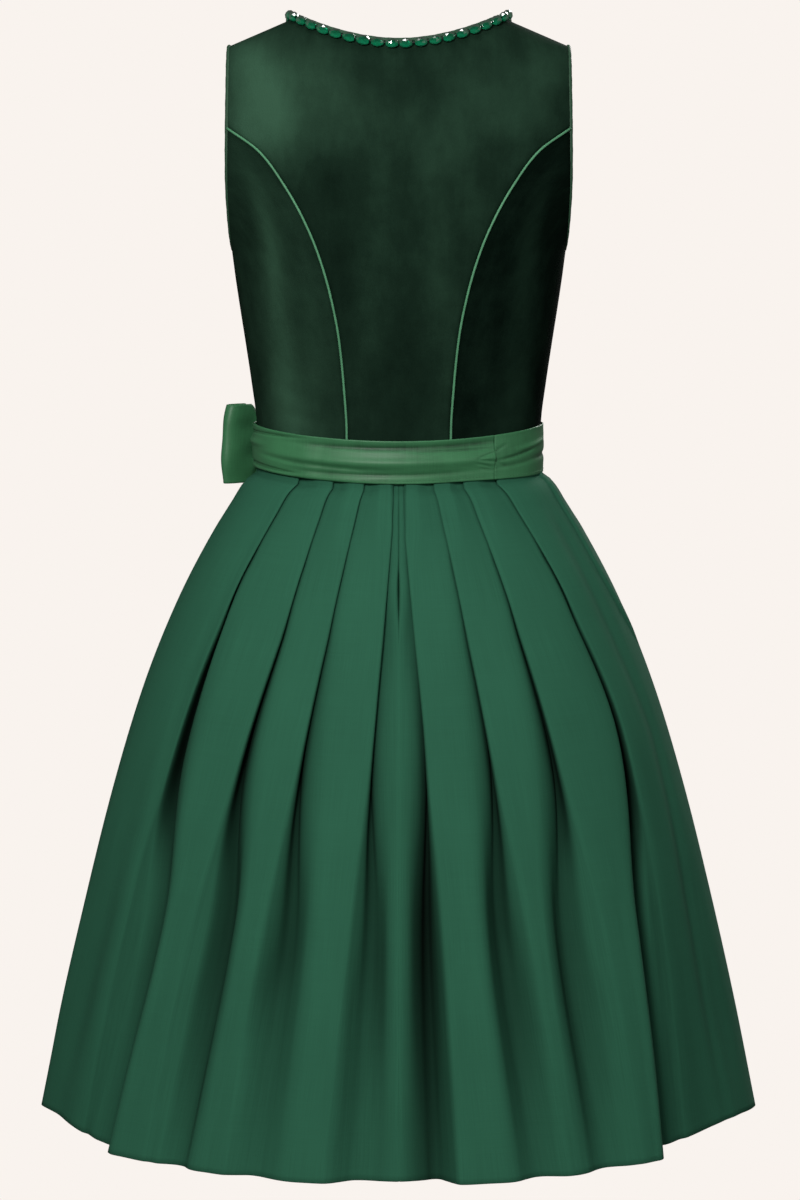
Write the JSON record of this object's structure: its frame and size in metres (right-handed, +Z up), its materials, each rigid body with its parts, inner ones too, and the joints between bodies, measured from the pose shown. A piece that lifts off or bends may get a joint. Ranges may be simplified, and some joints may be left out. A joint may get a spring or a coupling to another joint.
{
  "type": "dirndl dress",
  "caption": "Sleeveless dirndl dress: fitted velvet bodice with shaped seams and a beaded neckline, long pleated skirt, and a satin apron with its waistband tied in a bow at the side front.",
  "frame": {"origin": "on the centre line between the two shoulder seams, level with their neck ends: where the wearer's shoulders hold the dress up", "axes": "+Z up along the wearer, -Y towards the front of the dress, +Y towards its back, +X towards the wearer's left"},
  "size_m": [0.7034, 0.5524, 1.0682],
  "materials": {
    "velvet": "cotton velvet, very dark green",
    "twill": "wool-like twill, bottle green",
    "satin": "soft satin, grey green",
    "glass": "cut glass, emerald green"
  },
  "bodies": {
    "root": {"bodice_back_centre": "velvet", "bodice_side_back_left": "velvet", "bodice_side_back_right": "velvet", "bodice_side_front_left": "velvet", "bodice_side_front_right": "velvet", "bodice_front_left": "velvet", "bodice_front_right": "velvet", "skirt_back_left": "twill", "skirt_back_right": "twill", "skirt_front_left": "twill", "skirt_front_right": "twill", "apron_panel": "satin", "apron_waistband": "satin", "waist_tie": "satin", "bow_knot": "satin", "bow_loop_front": "satin", "bow_loop_side": "satin", "tie_tail_front": "satin", "tie_tail_side": "satin", "neck_piping": "satin", "armhole_piping_left": "satin", "armhole_piping_right": "satin", "seam_piping_left": "satin", "seam_piping_right": "satin", "bead_string_back": "glass", "bead_string_front": "glass"}
  },
  "joints": []
}
